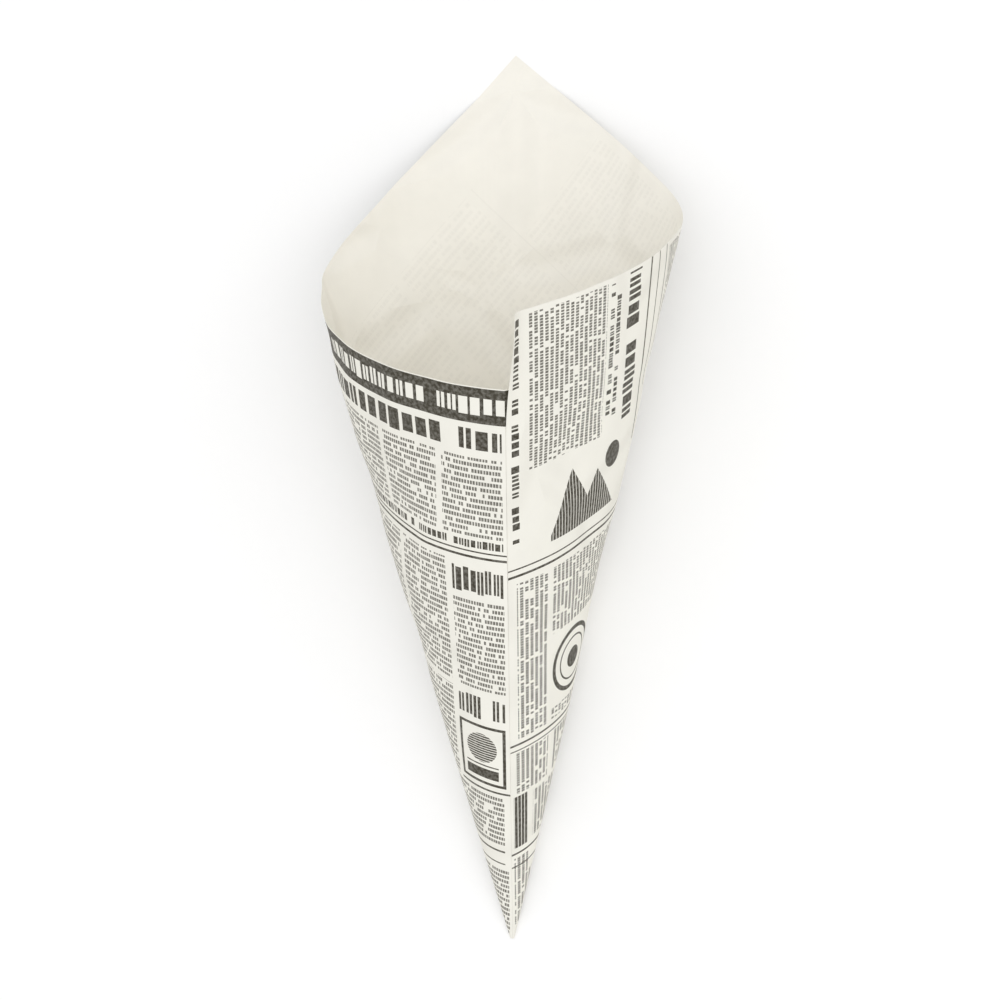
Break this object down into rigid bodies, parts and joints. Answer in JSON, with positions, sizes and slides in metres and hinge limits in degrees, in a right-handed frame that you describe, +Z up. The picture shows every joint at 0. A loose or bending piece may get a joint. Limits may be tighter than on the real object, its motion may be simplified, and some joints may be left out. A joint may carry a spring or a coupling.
{
  "type": "paper cone",
  "caption": "Open food cone rolled from one flat sheet of printed greaseproof paper, with a glued lap seam, a tall pointed back and a closed tip.",
  "frame": {"origin": "middle of the cone's box in plan, on the surface it lies on", "axes": "+Z up, +Y from the tip towards the mouth and the peak, +X towards the right face, whose side edge is the seam in view"},
  "size_m": [0.111, 0.2898, 0.1083],
  "materials": {
    "printed_paper": "matt cream greaseproof paper, printed dark grey outside"
  },
  "bodies": {
    "root": {"paper_cone": "printed_paper"}
  },
  "joints": []
}
